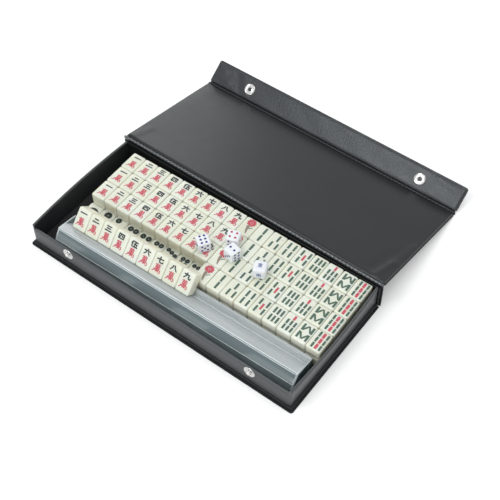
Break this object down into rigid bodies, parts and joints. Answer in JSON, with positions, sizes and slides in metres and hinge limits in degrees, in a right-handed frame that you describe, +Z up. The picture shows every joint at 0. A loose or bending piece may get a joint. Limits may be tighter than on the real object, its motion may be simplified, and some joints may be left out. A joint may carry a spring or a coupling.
{
  "type": "mahjong case",
  "caption": "Open book-bound case in black vinyl with a hinged lid and snap flap, holding stacked game tiles, a clear tile rack and dice.",
  "frame": {"origin": "centre of the bottom panel's underside, on the table", "axes": "+X to the right seen from the front wall, +Y to the spine and the open lid, +Z up"},
  "size_m": [0.298, 0.2898, 0.0408],
  "materials": {
    "black_vinyl": "satin vinyl on board",
    "board": "grey board",
    "lining_paper": "black paper",
    "snap_chrome": "bright",
    "tile_resin": "gloss",
    "clear_plastic": "clear moulded",
    "dice_plastic": "gloss"
  },
  "bodies": {
    "case": {"bottom_outer_skin": "black_vinyl", "bottom_board": "board", "bottom_inner_skin": "black_vinyl", "spine_outer_skin": "black_vinyl", "spine_board": "board", "spine_inner_skin": "black_vinyl", "lid_crease": "black_vinyl", "tray_left_board": "board", "tray_left_cover": "black_vinyl", "tray_right_board": "board", "tray_right_cover": "black_vinyl", "tray_front_board": "board", "tray_front_cover": "black_vinyl", "tray_back_cover": "black_vinyl", "tray_lining": "lining_paper", "snap_studs": "snap_chrome", "stud_washers": "snap_chrome", "circle_row_4": "tile_resin", "honour_row_4": "tile_resin", "bamboo_row_4": "tile_resin"},
    "lid": {"lid_outer_skin": "black_vinyl", "lid_board": "board", "lid_inner_skin": "black_vinyl", "flap_crease": "black_vinyl"},
    "flap": {"flap_outer_skin": "black_vinyl", "flap_board": "board", "flap_inner_skin": "black_vinyl", "snap_sockets": "snap_chrome", "snap_caps": "snap_chrome"},
    "rack_body": {"rack": "clear_plastic"},
    "leaning_tiles": {"leaning_row": "tile_resin"},
    "circle_tiles": {"circle_row_1": "tile_resin", "circle_row_2": "tile_resin", "circle_row_3": "tile_resin"},
    "character_tiles": {"character_row_1": "tile_resin", "character_row_2": "tile_resin", "character_row_3": "tile_resin"},
    "honour_tiles": {"honour_row_1": "tile_resin", "honour_row_2": "tile_resin", "honour_row_3": "tile_resin"},
    "bamboo_tiles": {"bamboo_row_1": "tile_resin", "bamboo_row_2": "tile_resin", "bamboo_row_3": "tile_resin"},
    "die_six_body": {"die_six_up": "dice_plastic"},
    "die_four_body": {"die_four_up": "dice_plastic"},
    "die_two_body": {"die_two_up": "dice_plastic"},
    "wind_die_body": {"wind_die": "dice_plastic"}
  },
  "joints": [
    {"name": "lid_hinge", "type": "hinge", "parent": "case", "child": "lid", "pos_m": [0, 0.068, 0.03], "axis": [-1, 0, 0], "range_deg": [-170, 0]},
    {"name": "flap_hinge", "type": "hinge", "parent": "lid", "child": "flap", "pos_m": [0, 0.19941, 0.00135], "axis": [1, 0, 0], "range_deg": [-32, 37]},
    {"name": "rack_lift", "type": "slide", "parent": "case", "child": "rack_body", "axis": [0, 0, 1], "range_m": [0, 0.04]},
    {"name": "leaning_tiles_lift", "type": "slide", "parent": "rack_body", "child": "leaning_tiles", "axis": [0, 0, 1], "range_m": [0, 0.04]},
    {"name": "circle_tiles_lift", "type": "slide", "parent": "case", "child": "circle_tiles", "axis": [0, 0, 1], "range_m": [0, 0.03]},
    {"name": "character_tiles_lift", "type": "slide", "parent": "circle_tiles", "child": "character_tiles", "axis": [0, 0, 1], "range_m": [0, 0.03]},
    {"name": "honour_tiles_lift", "type": "slide", "parent": "case", "child": "honour_tiles", "axis": [0, 0, 1], "range_m": [0, 0.03]},
    {"name": "bamboo_tiles_lift", "type": "slide", "parent": "honour_tiles", "child": "bamboo_tiles", "axis": [0, 0, 1], "range_m": [0, 0.03]},
    {"name": "die_six_lift", "type": "slide", "parent": "character_tiles", "child": "die_six_body", "axis": [0, 0, 1], "range_m": [0, 0.03]},
    {"name": "die_four_lift", "type": "slide", "parent": "bamboo_tiles", "child": "die_four_body", "axis": [0, 0, 1], "range_m": [0, 0.03]},
    {"name": "die_two_lift", "type": "slide", "parent": "bamboo_tiles", "child": "die_two_body", "axis": [0, 0, 1], "range_m": [0, 0.03]},
    {"name": "wind_die_lift", "type": "slide", "parent": "bamboo_tiles", "child": "wind_die_body", "axis": [0, 0, 1], "range_m": [0, 0.03]}
  ]
}
